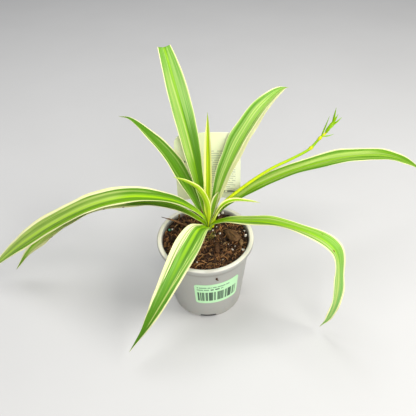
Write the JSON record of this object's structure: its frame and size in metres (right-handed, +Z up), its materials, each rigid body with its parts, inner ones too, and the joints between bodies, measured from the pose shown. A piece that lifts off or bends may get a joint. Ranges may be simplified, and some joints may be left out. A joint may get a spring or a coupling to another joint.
{
  "type": "potted spider plant",
  "caption": "Arching striped strap leaves and a flower stalk on a short crown, rooted in soil in a tapered round nursery pot with a label and a care tag.",
  "frame": {"origin": "centre of the flat underside of the pot", "axes": "+Z up along the pot's axis; -Y is the front, the side of the label; +X is to the right seen from the front"},
  "size_m": [0.5342, 0.2075, 0.2637],
  "materials": {
    "pot": "light grey moulded plastic, satin",
    "soil": "dark brown fibrous potting mix, matte",
    "crown": "pale green stem and fleshy roots",
    "bark": "split bark, matte",
    "leaf": "green leaf with cream margins, waxy satin",
    "young_leaf": "bright yellow-green leaf with cream margins, waxy satin",
    "stalk": "bright yellow-green stalk, satin",
    "dried_leaf": "dry brown leaf, matte",
    "tag": "cream-white printed plastic card",
    "label": "pale green printed sticker"
  },
  "bodies": {
    "root": {"pot": "pot", "soil": "soil", "crown_and_roots": "crown", "bark_chip": "bark", "leaf_left_upper": "leaf", "leaf_left_lower": "leaf", "leaf_back_left": "leaf", "leaf_back_tall": "leaf", "leaf_back_right": "leaf", "leaf_centre_young": "young_leaf", "leaf_small_left": "young_leaf", "leaf_small_right": "young_leaf", "leaf_small_inner": "young_leaf", "leaf_right_upper": "leaf", "leaf_right_lower": "leaf", "leaf_front": "leaf", "flower_stalk": "stalk", "dried_leaf": "dried_leaf", "care_tag": "tag", "pot_label": "label"}
  },
  "joints": []
}
